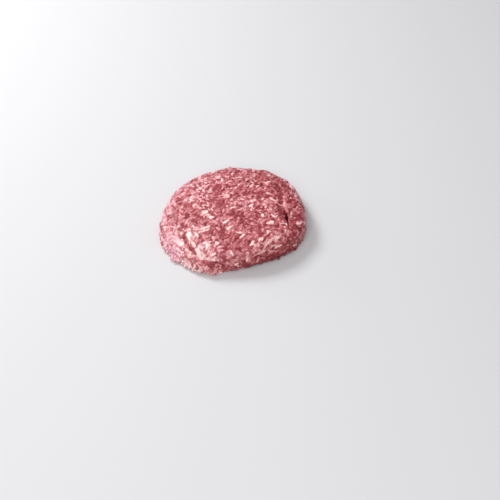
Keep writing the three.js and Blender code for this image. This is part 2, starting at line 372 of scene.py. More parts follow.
# The rags and the small fatter teeth between them, as shares of a row's count, length and width
RAG_LENGTHS = (0.7, 1.3)
RAG_WIDTHS = (0.6, 1.3)
RAG_FLATNESS = 0.55
TOOTH_COUNT_SHARE = 0.8
TOOTH_LENGTHS = (0.5, 0.8)
TOOTH_WIDTHS = (0.5, 0.75)
TOOTH_FLATNESS = 0.7

# Crumbs of fat and threads of sinew that lie among the strands
CRUMB_COUNT = 420
CRUMB_RADIUS_MM = (0.3, 0.6)
CRUMB_LENGTH_MM = (0.6, 1.8)
CRUMB_FATNESS = (0.8, 1.0)
THREAD_COUNT = 80
THREAD_RADIUS_MM = (0.3, 0.42)
THREAD_LENGTH_MM = (4.0, 10.0)
THREAD_FATNESS = (0.7, 0.9)
FINE_LOWEST_MM = 1.0
FINE_SPREAD = 0.7  # round the grain's heading, in radians
SURFACE_DEPTH_MM = 0.12

# The bits of lean and fat in the colour: their sizes, how much longer they are along the grain, and
# how much each kind shifts the fatness
BIT_SIZE_MM = 1.7
BIT_STRETCH = 2.4
SMALL_BIT_RATE = 2.6  # how many small bits lie along one large one
SMALL_BIT_STRETCH = 3.4
SMALL_BIT_WEIGHT = 1.2
MIDDLE_LEVEL = 1.1  # the mean of both kinds of bits together
BIT_EDGE_SOFTNESS = 0.25
BIT_CONTRAST = 0.26
BIT_WOBBLE_MM = 0.9
BIT_WOBBLE_RATE = 0.8
FIBRE_STRETCH = 5
FIBRE_RATE = 1.8
FIBRE_CONTRAST = 0.8

# The colours of raw beef, from lean to fat, and how they are tinted, given painted shade in cracks,
# pits and the slit, and lit
BEEF_COLOURS = [
    (0.00, (0.19, 0.016, 0.022)),
    (0.25, (0.35, 0.054, 0.064)),
    (0.45, (0.50, 0.132, 0.147)),
    (0.62, (0.66, 0.26, 0.28)),
    (0.80, (0.84, 0.47, 0.48)),
    (1.00, (0.92, 0.70, 0.64)),
]
# The brown tint, which at the foot of the front right is partly painted shade
BROWN_AND_SHADE_TINT = (0.70, 0.46, 0.36)
LILAC_TINT = (0.95, 0.93, 1.08)
# The tint of painted shade, by which the colour is multiplied in cracks, pits and the slit
PAINTED_SHADE_TINT = (0.40, 0.12, 0.12)
FULL_BROWN_AND_SHADE = 2.0  # the sum of tints at which the meat is brownest, and darkest where it paints shade
MOST_LILAC = 0.9  # how much of the lilac tint it takes at most
CRACK_DEPTHS_MM = (0.08, 0.40)
CRACK_SHADE = 0.6
PIT_DEPTHS_MM = (0.5, 2.2)
PIT_SHADE = 1.0
DRYNESS = 0.30
WET_PATCH_RATE = 0.35
WET_PATCH_ROUGHNESS = 0.2
SKIN_GRAIN_MM = 0.5
SKIN_GRAIN_DEPTH_MM = 0.12
SKIN_GRAIN_STRENGTH = 0.6
WET_SURFACE = {
    "IOR": 1.4,
    "Specular IOR Level": 0.38,
    "Coat Weight": 0.18,
    "Coat Roughness": 0.2,
    "Coat IOR": 1.36,
    "Subsurface Weight": 0.12,
    "Subsurface Scale": 0.002,
    "Subsurface Radius": (1.0, 0.35, 0.25),
}

# The studio: each lamp's name, place in metres, size in metres and power in watts
LAMPS = [
    ("key", (-0.55, 0.5, 0.75), 0.4, 7.6),
    ("fill", (-0.1, -0.8, 0.9), 0.8, 6.8),
    ("rim", (-0.9, 0.45, 0.22), 0.3, 1.3),
]
SKY_COLOUR = (0.9, 0.9, 0.92, 1)
SKY_STRENGTH = 0.45
FLOOR_COLOUR = (0.66, 0.66, 0.67, 1)
FLOOR_ROUGHNESS = 0.7
FLOOR_REACH = 3.0  # metres each way

UP = Vector((0, 0, 1))


# Numbers and places


def eased(low, high, value):
    """0 below low, 1 above high, with an eased rise between them."""
    share = np.clip((value - low) / (high - low), 0, 1)
    return share * share * (3 - 2 * share)


def points_of(mesh):
    """A mesh's vertices as rows of x, y and z in metres."""
    places = np.empty(len(mesh.vertices) * 3, np.float32)
    mesh.vertices.foreach_get("co", places)
    return places.reshape(-1, 3).astype(float)


def normals_of(mesh):
    """The way out of a mesh at each vertex."""
    ways = np.empty(len(mesh.vertices) * 3, np.float32)
    mesh.vertex_normals.foreach_get("vector", ways)
    return ways.reshape(-1, 3).astype(float)


def place_points(mesh, places):
    """Moves a mesh's vertices to these rows of x, y and z."""
    mesh.vertices.foreach_set("co", places.astype(np.float32).ravel())
    mesh.update()


# Objects and meshes


def make_object(name, data):
    """A new object that holds the data, linked to the scene."""
    made = bpy.data.objects.new(name, data)
    bpy.context.scene.collection.objects.link(made)
    return made


def mesh_from(name, points, faces):
    """A smoothly shaded mesh made of points and faces."""
    mesh = bpy.data.meshes.new(name)
    mesh.from_pydata([tuple(p) for p in points], [], [tuple(f) for f in faces])
    mesh.shade_smooth()
    return mesh


def apply_modifiers(obj):
    """Replaces the object's mesh by what its modifiers make of it."""
    shown = obj.evaluated_get(bpy.context.evaluated_depsgraph_get())
    made = bpy.data.meshes.new_from_object(shown)
    old = obj.data
    obj.modifiers.clear()
    obj.data = made
    bpy.data.meshes.remove(old)


def smooth(obj, times):
    """Evens out the object's surface."""
    smoother = obj.modifiers.new("smooth", "SMOOTH")
    smoother.factor = 0.5
    smoother.iterations = times
    apply_modifiers(obj)


def join_by_voxels(obj, voxel_mm):
    """Turns what overlaps in the object into one closed surface."""
    joiner = obj.modifiers.new("join", "REMESH")
    joiner.mode = "VOXEL"
    joiner.voxel_size = voxel_mm * MM
    apply_modifiers(obj)


def keep_outer_skin(obj):
    """Leaves only the object's largest closed surface, without loose scraps or shut hollows."""
    body = bmesh.new()
    body.from_mesh(obj.data)
    left, largest = set(body.verts), set()
    while left:
        island, waiting = set(), [left.pop()]
        while waiting:
            point = waiting.pop()
            island.add(point)
            near = {edge.other_vert(point) for edge in point.link_edges} & left
            left -= near
            waiting.extend(near)
        largest = max(largest, island, key=len)
    loose = [point for point in body.verts if point not in largest]
    bmesh.ops.delete(body, geom=loose, context="VERTS")
    body.to_mesh(obj.data)
    body.free()


def fuse(name, meshes):
    """One object that holds all the meshes' faces."""
    joined = bmesh.new()
    for mesh in meshes:
        joined.from_mesh(mesh)
    made = bpy.data.meshes.new(name)
    joined.to_mesh(made)
    joined.free()
    return make_object(name, made)


# The camera and its rays


def camera_matrix():
    """Where the lens stands and how it is turned."""
    azimuth, elevation, roll = (
        math.radians(angle) for angle in (CAMERA_AZIMUTH, CAMERA_ELEVATION, CAMERA_ROLL)
    )
    flat = math.cos(elevation)
    back = Vector((math.sin(azimuth) * flat, -math.cos(azimuth) * flat, math.sin(elevation)))
    level = Vector((math.cos(azimuth), math.sin(azimuth), 0))
    right = level * math.cos(roll) + back.cross(level) * math.sin(roll)
    matrix = Matrix((right, back.cross(right), back)).transposed().to_4x4()
    matrix.translation = (Vector(AIM_MM) + back * CAMERA_DISTANCE_MM) * MM
    return matrix


def way_through(pixel):
    """The way from the lens through a pixel of the picture."""
    focal = PICTURE_PIXELS * LENS_MM / SENSOR_MM
    middle = PICTURE_PIXELS / 2
    way = Vector(((pixel[0] - middle) / focal, (middle - pixel[1]) / focal, -1))
    return (camera_matrix().to_3x3() @ way).normalized()


def add_camera():
    camera = make_object("camera", bpy.data.cameras.new("camera"))
    camera.matrix_world = camera_matrix()
    camera.data.lens = LENS_MM
    camera.data.sensor_width = SENSOR_MM
    bpy.context.scene.camera = camera


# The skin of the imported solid


class Skin:
    """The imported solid's skin, smoothed, which strands follow and are pressed back to."""

    def __init__(self, node):
        self.rough = BVHTree.FromObject(node, bpy.context.evaluated_depsgraph_get())
        self.obj = make_object("smoothed_skin", node.data.copy())
        join_by_voxels(self.obj, SKIN_VOXEL_MM)
        smooth(self.obj, SKIN_SMOOTHING)
        mesh = self.obj.data
        self.areas = np.array([face.area for face in mesh.polygons])
        self.middles = np.array([face.center[:] for face in mesh.polygons])
        self.tree = BVHTree.FromObject(self.obj, bpy.context.evaluated_depsgraph_get())

    def nearest(self, point):
        """The nearest place on the skin, and the way out there."""
        place, out, _, _ = self.tree.find_nearest(point)
        return place, out

    def under(self, pixel):
        """The place that a pixel of the picture shows: on the skin, or beside it in the air."""
        lens, way = camera_matrix().translation, way_through(pixel)
        place, _, _, _ = self.tree.ray_cast(lens, way)
        if place is None:
            places = [lens + way * away * MM for away in np.arange(*RAY_STEPS_MM)]
            over_table = [place for place in places if place.z > LOWEST_IN_AIR_MM * MM]
            place = min(over_table, key=lambda place: self.tree.find_nearest(place)[3])
        return place

    def at_rim(self, angle, height_mm):
        """The place on the side at an angle from +X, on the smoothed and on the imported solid."""
        way = Vector((math.cos(angle), math.sin(angle), 0))
        start = way * 0.2 + UP * height_mm * MM
        return self.tree.ray_cast(start, -way)[0], self.rough.ray_cast(start, -way)[0]

    def scatter(self, count, draws, lowest_mm):
        """Places spread over the skin's faces above a height."""
        weights = self.areas * (self.middles[:, 2] > lowest_mm * MM)
        chosen = draws.choice(len(weights), count, p=weights / weights.sum())
        return self.middles[chosen]

    def remove(self):
        bpy.data.objects.remove(self.obj)


# Strands: each is a row of rings, and a ring is a place, the way out and the way across


def ring_array(rows):
    """A strand's rings as plain numbers: for each its place, the way out and the way across."""
    return [[tuple(part) for part in row] for row in rows]


def walk_strand(skin, start, heading, length_mm, radius_mm, draws):
    """A strand's rings over the skin, diving under it and coming up again."""
    step = length_mm / (STRAND_RINGS - 1) * MM
    point, out = skin.nearest(Vector(start))
    way = Vector((math.cos(heading), math.sin(heading), draws.uniform(-STRAND_RISE, STRAND_RISE)))
    bend = draws.normal(0, STRAND_BEND)
    dive = draws.uniform(0, 2 * math.pi)
    rate = draws.uniform(*STRAND_DIVE_RATE)
    mean_depth, swing = STRAND_DIVE
    rows = []
    for ring in range(STRAND_RINGS):
        way = (way - out * way.dot(out)).normalized()
        across = out.cross(way)
        depth = radius_mm * (mean_depth + swing * math.sin(dive + rate * ring)) * MM
        rows.append((point - out * depth, out, across))
        way = way + across * bend
        point, out = skin.nearest(point + way * step)
    return ring_array(rows)


def path_strand(skin, places, depth_mm):
    """A strand's rings over the skin, from place to place."""
    rows = []
    for share in np.linspace(0, len(places) - 1, STRAND_RINGS):
        first = min(int(share), len(places) - 2)
        along = places[first + 1] - places[first]
        point, out = skin.nearest(places[first].lerp(places[first + 1], share - first))
        rows.append((point - out * depth_mm * MM, out, out.cross(along).normalized()))
    return ring_array(rows)


def straight_strand(start, end, draws):
    """A strand's rings through the air, from one place to another, a little crooked."""
    along = end - start
    across = UP.cross(along).normalized()
    out = along.cross(across).normalized()
    sway_across, sway_out = (along.length * sway for sway in RAG_SWAY)
    rows = []
    for share in np.linspace(0, 1, STRAND_RINGS):
        shift = across * draws.normal(0, sway_across) + out * draws.normal(0, sway_out)
        rows.append((start + along * share + shift * share, out, across))
    return ring_array(rows)


# A strand's thickness at each ring, as a share of its radius: rounded at both ends, or blunt at one
ROUND_ENDS = np.sin(np.pi * np.linspace(0.1, 0.9, STRAND_RINGS)) ** 0.5
BLUNT_END = np.sqrt(1 - (0.8 * np.linspace(0, 1, STRAND_RINGS) ** 2) ** 2)


class Bundle:
    """Strands gathered for one mesh: where they run, how thick, fat and flat, and if pressed."""

    def __init__(self):
        self.lines, self.radii, self.fatness, self.flatness, self.pressed = [], [], [], [], []

    def add(self, line, radius_mm, ends, fatness, flatness=STRAND_FLATNESS, pressed=True):
        self.lines.append(line)
        self.radii.append(radius_mm * ends * MM)
        self.fatness.append(np.broadcast_to(fatness, STRAND_RINGS - 1))
        self.flatness.append(flatness)
        self.pressed.append(pressed)

    def tubes(self):
        """Points and faces of a tube round each strand: all its walls first, then its two ends."""
        lines, radii = np.array(self.lines), np.array(self.radii)[:, :, None, None]
        count, rings = lines.shape[:2]
        turns = np.linspace(0, 2 * np.pi, STRAND_SIDES, endpoint=False)[:, None]
        flat = np.array(self.flatness)[:, None, None, None]
        across = np.cos(turns) * lines[:, :, None, 2]
        out = np.sin(turns) * lines[:, :, None, 1] * flat
        points = (lines[:, :, None, 0] + (across + out) * radii).reshape(-1, 3)

        low = np.arange(STRAND_SIDES)
        high = low + STRAND_SIDES
        wall = np.stack([low, np.roll(low, -1), np.roll(high, -1), high], 1)
        tube = (wall[None] + STRAND_SIDES * np.arange(rings - 1)[:, None, None]).reshape(-1, 4)
        firsts = rings * STRAND_SIDES * np.arange(count)
        faces = (tube[None] + firsts[:, None, None]).reshape(-1, 4).tolist()
        last = (rings - 1) * STRAND_SIDES
        for first in firsts.tolist():
            faces.append([first + side for side in reversed(range(STRAND_SIDES))])
            faces.append([first + last + side for side in range(STRAND_SIDES)])
        return points, faces

    def by_face(self, values):
        """Each face's value, from one value for each length of each strand."""
        values = np.array(values, float)
        return np.concatenate([np.repeat(values.ravel(), STRAND_SIDES), values[:, [0, -1]].ravel()])


# The row of shares along the slit at which distances to it are measured
SLIT_SHARES = np.linspace(-1, 1, 61)


def slit_line(shares, offset_mm):
    """Places along the slit, seen from above in mm, moved sideways from its middle line."""
    turn = math.radians(SLIT_TURN)
    along = np.array([math.cos(turn), math.sin(turn)])
    left = np.array([-along[1], along[0]])
    shares = np.asarray(shares)[:, None]
    bow = SLIT_BOW_MM * (1 - shares**2)
    return np.array(SLIT_MIDDLE_MM) + along * shares * SLIT_HALF_LENGTH_MM + left * (bow + offset_mm)


def slit_distances(points):
    """How far points are from each of a row of places along the slit, in mm, seen from above."""
    flat = points[..., None, :2] / MM
    return np.linalg.norm(flat - slit_line(SLIT_SHARES, 0), axis=-1)


def slit_distance_mm(points):
    """How far points are from the slit's middle line, seen from above."""
    return slit_distances(points).min(-1)


def slit_share(points):
    """Where along the slit points lie, from -1 at one end to 1 at the other."""
    return SLIT_SHARES[slit_distances(points).argmin(-1)]


def zone_sum(points, zones):
    """The sum of the zones' amounts at these points, each fading out round its place."""
    total = np.zeros(points.shape[:-1])
    for place, reach, amount in zones:
        away = np.linalg.norm(points - place, axis=-1) / (reach * MM)
        total += amount * np.exp(-away * away)
    return total


def placed_zones(skin, zones):
    """Zones whose pixels are turned into places on the skin."""
    return [(np.array(skin.under(pixel)), reach, amount) for pixel, reach, amount in zones]


def drawn_fatness(line, tones_and_painted_shade, draws):
    """How fat each length of a strand is: by luck, and by where it lies, where some zones paint shade.
    """
    places = np.array(line)[:, 0]
    middles = (places[1:] + places[:-1]) / 2
    luck = draws.random(len(middles))
    for ring in range(1, len(luck)):
        if draws.random() < SAME_MEAT:
            luck[ring] = luck[ring - 1]
    return np.interp(luck + zone_sum(middles, tones_and_painted_shade), LUCK, FATNESS)


def lay_strands(bundle, skin, tones_and_painted_shade, draws):
    """The strands of mince that cover the patty, strewn by a rule, but none across the slit."""
    turns = placed_zones(skin, GRAIN_TURNS)
    for start in skin.scatter(STRAND_COUNT, draws, STRAND_LOWEST_MM):
        grain_share = GRAIN_SHARE_LEFT if start[0] < 0 else GRAIN_SHARE_RIGHT
        if draws.random() < grain_share:
            along_grain = math.radians(GRAIN_HEADING + zone_sum(start, turns))
            heading = along_grain + draws.normal(0, GRAIN_SPREAD)
        else:
            heading = draws.uniform(0, math.pi)
        radius, length = draws.uniform(*STRAND_RADIUS_MM), draws.uniform(*STRAND_LENGTH_MM)
        line = walk_strand(skin, start, heading, length, radius, draws)
        if slit_distance_mm(np.array(line)[:, 0]).min() > radius + SLIT_GAP_MM / 2:
            bundle.add(line, radius, ROUND_ENDS, drawn_fatness(line, tones_and_painted_shade, draws))


def lay_slit_lips(bundle, skin, tones_and_painted_shade, draws):
    """Strands along both sides of the slit."""
    shares = np.linspace(-SLIT_LIP_ENDS, SLIT_LIP_ENDS, STRAND_RINGS)
    for side, offset, radius in SLIT_LIPS:
        away = side * (offset + SLIT_GAP_MM / 2)
        places = [Vector((*spot * MM, OVER_PATTY_MM * MM)) for spot in slit_line(shares, away)]
        line = path_strand(skin, places, radius * SLIT_LIP_DEPTH)
        bundle.add(line, radius, ROUND_ENDS, drawn_fatness(line, tones_and_painted_shade, draws))


def lay_streaks(bundle, skin):
    """The bits of lean and fat that show."""
    for streaks, fatness in ((LEAN_STREAKS, LEAN_FATNESS), (FAT_STREAKS, WHITE_FATNESS)):
        for start, end, width in streaks:
            places = [skin.under(start), skin.under(end)]
            bundle.add(path_strand(skin, places, width * STREAK_DEPTH), width / 2, ROUND_ENDS, fatness)


def lay_ridges(bundle, skin):
    """The ridges that stand up from the pressed meat."""
    for pixels, width, fatness in RIDGES:
        line = path_strand(skin, [skin.under(pixel) for pixel in pixels], width * STREAK_DEPTH)
        bundle.add(line, width / 2, ROUND_ENDS, fatness, pressed=False)


def lay_flakes(bundle, skin, draws):
    """The flakes that stand out of the rim."""
    for start, end, width, fatness in FLAKES:
        line = straight_strand(skin.under(start), skin.under(end), draws)
        bundle.add(line, width / 2, BLUNT_END, fatness, FLAKE_FLATNESS, pressed=False)


def rim_rags(skin, draws, share, lengths, widths):
    """Lines, radii and fatness of rags that reach from the rim's meat to the solid's own edge."""
    for first, last, full_count, full_length, full_width, middle_height, stands_out, fatter in RAG_ROWS:
        count = int(full_count * share)
        for step in (np.arange(count) + draws.random(count)) / count:
            angle = math.radians(first + step * (last - first))
            height = middle_height * draws.uniform(*RAG_HEIGHTS)
            length = full_length * draws.uniform(*lengths)
            width = full_width * draws.uniform(*widths)
            inner, outer = skin.at_rim(angle, height)
            turn = angle + draws.normal(0, RAG_TURN)
            way = Vector((math.cos(turn), math.sin(turn), draws.normal(0, RAG_TILT)))
            tip = outer if (outer - inner).dot(way) > 0 else inner
            tip = tip + way * (stands_out + draws.uniform(-RAG_REACH_MM, RAG_REACH_MM)) * MM
            yield straight_strand(tip - way * length * MM, tip, draws), width / 2, fatter


def lay_rags(bundle, skin, tones_and_painted_shade, draws):
    """Ragged ends of meat that stand out of the torn rim, with small fatter teeth between them."""
    for line, radius, fatter in rim_rags(skin, draws, 1.0, RAG_LENGTHS, RAG_WIDTHS):
        fatness = drawn_fatness(line, tones_and_painted_shade, draws) + fatter
        bundle.add(line, radius, BLUNT_END, fatness, RAG_FLATNESS, pressed=False)
    for line, radius, fatter in rim_rags(skin, draws, TOOTH_COUNT_SHARE, TOOTH_LENGTHS, TOOTH_WIDTHS):
        fatness = drawn_fatness(line, tones_and_painted_shade, draws) + 2 * fatter
        bundle.add(line, radius, BLUNT_END, fatness, TOOTH_FLATNESS, pressed=False)


def lay_fine_bits(bundle, skin, draws, count, radii, lengths, fatness):
    """Short straight bits at the surface, such as crumbs of fat and threads of sinew."""
    for start in skin.scatter(count, draws, FINE_LOWEST_MM):
        heading = math.radians(GRAIN_HEADING) + draws.normal(0, FINE_SPREAD)
        length, radius = draws.uniform(*lengths), draws.uniform(*radii)
        end = Vector(start) + Vector((math.cos(heading), math.sin(heading), 0)) * length * MM
        line = path_strand(skin, [Vector(start), end], SURFACE_DEPTH_MM)
        if slit_distance_mm(np.array(line)[:, 0]).min() > radius + SLIT_GAP_MM / 2:
            bundle.add(line, radius, ROUND_ENDS, draws.uniform(*fatness))


# The pressed patty


def kept_inside(points):
    """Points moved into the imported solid's box."""
    return np.clip(points, *(np.array(corner) for corner in CAD_BOX))


def make_core(node):
    """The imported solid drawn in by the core's depth, but not beside the slit."""
    core = make_object("core", node.data.copy())
    join_by_voxels(core, CORE_VOXEL_MM)
    smooth(core, CORE_SMOOTHING)
    places = points_of(core.data)
    beside_slit = 1 - eased(*CORE_BESIDE_SLIT_MM, slit_distance_mm(places))
    depth = CORE_DEPTH_MM + (SLIT_MARGIN_MM - CORE_DEPTH_MM) * beside_slit
    place_points(core.data, places - normals_of(core.data) * depth[:, None] * MM)
    return core


def torn_share(places):
    """1 where the rim is torn, 0 where it is smooth, by the angle round the patty."""
    angles = np.degrees(np.arctan2(places[:, 1], places[:, 0])) % 360
    share = np.zeros(len(places))
    for first, last, *_ in RAG_ROWS:
        for turned in (angles, angles + 360):
            inside = eased(-TORN_FADE, 0, turned - first)
            share = np.maximum(share, inside * (1 - eased(0, TORN_FADE, turned - last)))
    return share


def pressed_place(skin, place, torn, film):
    """Where the press puts a point, between how far it may stand proud and how far it may sink."""
    near, out, _, away = skin.tree.find_nearest(place)
    if away == 0:
        return place, 0
    gap = Vector(place) - near
    topness = float(eased(*TOP_SLOPES, out.z))
    if gap.dot(out) > 0:
        at_side = PROUD_SIDE_MM + (PROUD_TORN_MM - PROUD_SIDE_MM) * torn
        limit = at_side + (PROUD_TOP_MM - at_side) * topness
        depth = 0
    else:
        at_side = SUNK_SIDE_MM + (SUNK_TORN_MM - SUNK_SIDE_MM) * torn
        limit = at_side + (SUNK_TOP_MM - at_side) * topness
        depth = away / MM
    limit *= (1 - FILM_EVENS * film) * MM
    return near + gap * (limit * math.tanh(away / limit) / away), depth


def cavities(obj):
    """How deep each point lies in its valley, found by smoothing a copy, in mm."""
    copy = make_object("copy", obj.data.copy())
    smooth(copy, CAVITY_SMOOTHING)
    lift = points_of(copy.data) - points_of(obj.data)
    bpy.data.objects.remove(copy)
    return (lift * normals_of(obj.data)).sum(1) / MM


def neighbour_mean(mesh, values, times):
    """Values of a mesh's points, evened out along its edges."""
    ends = np.empty(len(mesh.edges) * 2, np.int32)
    mesh.edges.foreach_get("vertices", ends)
    ends = ends.reshape(-1, 2)
    count = np.bincount(ends.ravel(), minlength=len(values)) + 1
    for _ in range(times):
        total = values.copy()
        total += np.bincount(ends[:, 0], values[ends[:, 1]], len(values))
        total += np.bincount(ends[:, 1], values[ends[:, 0]], len(values))
        values = total / count
    return values


def keep_values(mesh, name, values):
    """Stores a value for each point of a mesh, for its material to read."""
    layer = mesh.attributes.new(name, "FLOAT", "POINT")
    layer.data.foreach_set("value", np.asarray(values, np.float32))


def cut_slit(skin, places, depth):
    """Lowers the points along the slit, most in its middle and along its middle line, and marks the cut
    as depth, which paints shade in the slit.
    """
    away, share = slit_distance_mm(places), slit_share(places)
    on_top = places[:, 2] > SLIT_LOWEST_MM * MM
    for i in np.flatnonzero(on_top & (away < SLIT_REACH_MM)):
        cut = SLIT_DEPTH_MM * (1 - away[i] / SLIT_REACH_MM) * (1 - share[i] ** 4)
        top = skin.nearest(Vector(places[i]))[0].z
        places[i, 2] = min(places[i, 2], top - cut * MM)
        depth[i] = max(depth[i], cut)


def press(mesh, skin, pressed, film):
    """Presses the points that are marked, and returns how deep each lies under the skin."""
    places = points_of(mesh)
    depth = np.zeros(len(places))
    torn = torn_share(places)
    for i, place in enumerate(places):
        if pressed[i]:
            places[i], depth[i] = pressed_place(skin, place, torn[i], film[i])
    cut_slit(skin, places, depth)
    place_points(mesh, places)
    return depth


def thin_underside(patty):
    """Leaves fewer faces on the flat underside, which holds no relief."""
    underside = patty.vertex_groups.new(name="underside")
    low = normals_of(patty.data)[:, 2] < FACING_DOWN
    underside.add(np.flatnonzero(low).tolist(), 1.0, "REPLACE")
    thinner = patty.modifiers.new("thin", "DECIMATE")
    thinner.vertex_group = underside.name
    thinner.vertex_group_factor = 1.0
    thinner.ratio = UNDERSIDE_SHARE
    apply_modifiers(patty)
    patty.vertex_groups.clear()
    place_points(patty.data, kept_inside(points_of(patty.data)))


def make_patty(node, skin, tones_and_painted_shade, tints_and_shade, draws):
    """The patty: strands over a core, joined, pressed and marked for colour."""
    bundle = Bundle()
    lay_strands(bundle, skin, tones_and_painted_shade, draws)
    lay_slit_lips(bundle, skin, tones_and_painted_shade, draws)
    lay_streaks(bundle, skin)
    lay_ridges(bundle, skin)
    for kind in (
        (CRUMB_COUNT, CRUMB_RADIUS_MM, CRUMB_LENGTH_MM, CRUMB_FATNESS),
        (THREAD_COUNT, THREAD_RADIUS_MM, THREAD_LENGTH_MM, THREAD_FATNESS),
    ):
        lay_fine_bits(bundle, skin, draws, *kind)
    lay_flakes(bundle, skin, draws)
    lay_rags(bundle, skin, tones_and_painted_shade, draws)
    points, faces = bundle.tubes()
    core = make_core(node)
    patty = fuse("beef_patty", [mesh_from("strands", points, faces), core.data])
    bpy.data.objects.remove(core)
    join_by_voxels(patty, MEAT_VOXEL_MM)
    keep_outer_skin(patty)
    smooth(patty, MEAT_SMOOTHING)

    mesh = patty.data
    tree = BVHTree.FromPolygons(points.tolist(), faces)
    nearest = np.array([tree.find_nearest(place)[2] for place in points_of(mesh)])
    fatness = bundle.by_face(bundle.fatness)[nearest]
    by_strand = np.repeat(np.array(bundle.pressed)[:, None], STRAND_RINGS - 1, 1)
    pressed = bundle.by_face(by_strand)[nearest] > 0
    film = np.clip(-zone_sum(points_of(mesh), tints_and_shade), 0, 1)
    fatness += (FILM_FATNESS - fatness) * film * FILM_HIDES
    depth = press(mesh, skin, pressed, film)
    keep_values(mesh, "fatness", neighbour_mean(mesh, fatness, COLOUR_SMOOTHING))
    keep_values(mesh, "tint", zone_sum(points_of(mesh), tints_and_shade))
    # The depth, and the cavity below, paint shade in pits, cracks and the slit
    keep_values(mesh, "depth", depth * (1 - film))
    keep_values(mesh, "cavity", cavities(patty))
    thin_underside(patty)
    patty.data.shade_smooth()
    return patty


# Shader building


NUMBER = "NodeSocketFloat"
COLOUR = "NodeSocketColor"


def add_node(tree, kind, values=None, **settings):
    """A shader node with its settings, and plain values for its input sockets."""
    made = tree.nodes.new("ShaderNode" + kind)
    for key, value in settings.items():
        setattr(made, key, value)
    for key, value in (values or {}).items():
        made.inputs[key].default_value = value
    return made


def sum_of(tree, operation, *parts):
    """The result of a sum on outputs and plain numbers."""
    made = add_node(tree, "Math", operation=operation)
    for socket, part in zip(made.inputs, parts):
        if isinstance(part, (int, float)):
            socket.default_value = part
        else:
            tree.links.new(part, socket)
    return made.outputs[0]


def vector_sum(tree, operation, first, second):
    """The result of a sum on a vector output and another, or three plain numbers."""
    made = add_node(tree, "VectorMath", operation=operation)
    tree.links.new(first, made.inputs[0])
    if isinstance(second, tuple):
        made.inputs[1].default_value = second
    else:
        tree.links.new(second, made.inputs[1])
    return made.outputs[0]


def spread(tree, value, low, high, top):
    """A value turned from low..high to 0..top, kept inside."""
    values = {"From Min": low, "From Max": high, "To Max": top}
    made = add_node(tree, "MapRange", values)
    tree.links.new(value, made.inputs["Value"])
    return made.outputs[0]


def noise(tree, places, scale, detail, roughness=0.5):
    """A soft noise, at a scale in bumps per unit; its values lie round a half."""
    made = add_node(tree, "TexNoise", {"Detail": detail, "Roughness": roughness})
    tree.links.new(places, made.inputs["Vector"])
    if isinstance(scale, (int, float)):
        made.inputs["Scale"].default_value = scale
    else:
        tree.links.new(scale, made.inputs["Scale"])
    return made


def new_group(name, inputs, outputs):
    """A shader group with named sockets; each input is a kind and a plain value."""
    tree = bpy.data.node_groups.new(name, "ShaderNodeTree")
    for key, (kind, value) in inputs.items():
        socket = tree.interface.new_socket(key, in_out="INPUT", socket_type=kind)
        socket.default_value = value
    for key, kind in outputs.items():
        tree.interface.new_socket(key, in_out="OUTPUT", socket_type=kind)
    given, put = tree.nodes.new("NodeGroupInput"), tree.nodes.new("NodeGroupOutput")
    return tree, given.outputs, put.inputs


def millimetre_places(tree):
    """The object's own coordinates in millimetres."""
    places = add_node(tree, "TexCoord").outputs["Object"]
    return vector_sum(tree, "MULTIPLY", places, (1000, 1000, 1000))


def grain_places(tree, places, stretch):
    """Places turned to the grain's heading, and stretched along it."""
    turned = add_node(tree, "Mapping", {"Rotation": (0, 0, -math.radians(GRAIN_HEADING))})
    tree.links.new(places, turned.inputs["Vector"])
    return vector_sum(tree, "MULTIPLY", turned.outputs[0], (1 / stretch, 1, 1))


def voronoi_level(tree, places, rate):
    """A random level from 0 to 1 for each cell of a mosaic."""
    cells = add_node(tree, "TexVoronoi", {"Smoothness": BIT_EDGE_SOFTNESS}, feature="SMOOTH_F1")
    tree.links.new(places, cells.inputs["Vector"])
    tree.links.new(rate, cells.inputs["Scale"])
    level = add_node(tree, "SeparateColor")
    tree.links.new(cells.outputs["Color"], level.inputs[0])
    return level.outputs[0]


def mosaic_group():
    """Bits of lean and fat smeared together, as a shift in fatness."""
    tree, given, put = new_group(
        "meat_mosaic",
        {"Bit Size": (NUMBER, BIT_SIZE_MM), "Bits": (NUMBER, 0.4), "Fibres": (NUMBER, 0.3)},
        {"Shift": NUMBER},
    )
    places = millimetre_places(tree)
    wobble = noise(tree, places, BIT_WOBBLE_RATE, 3).outputs["Color"]
    bent = vector_sum(tree, "ADD", places, vector_sum(tree, "MULTIPLY", wobble, (BIT_WOBBLE_MM,) * 3))
    rate = sum_of(tree, "DIVIDE", 1.0, given["Bit Size"])
    small_rate = sum_of(tree, "MULTIPLY", rate, SMALL_BIT_RATE)
    large = voronoi_level(tree, grain_places(tree, bent, BIT_STRETCH), rate)
    small = voronoi_level(tree, grain_places(tree, bent, SMALL_BIT_STRETCH), small_rate)
    around_middle = sum_of(tree, "SUBTRACT", large, MIDDLE_LEVEL)
    level = sum_of(tree, "MULTIPLY_ADD", small, SMALL_BIT_WEIGHT, around_middle)
    bit_shift = sum_of(tree, "MULTIPLY", level, given["Bits"])
    fibre = noise(tree, grain_places(tree, bent, FIBRE_STRETCH), FIBRE_RATE, 4, 0.7).outputs["Fac"]
    fibre_shift = sum_of(tree, "MULTIPLY", sum_of(tree, "SUBTRACT", fibre, 0.5), given["Fibres"])
    tree.links.new(sum_of(tree, "ADD", bit_shift, fibre_shift), put["Shift"])
    return tree


def tinted(tree, colour, amount, tint):
    """A colour multiplied by a tint, by an amount."""
    made = add_node(tree, "Mix", {"B": (*tint, 1)}, data_type="RGBA", blend_type="MULTIPLY")
    tree.links.new(amount, made.inputs["Factor"])
    tree.links.new(colour, made.inputs["A"])
    return made.outputs["Result"]


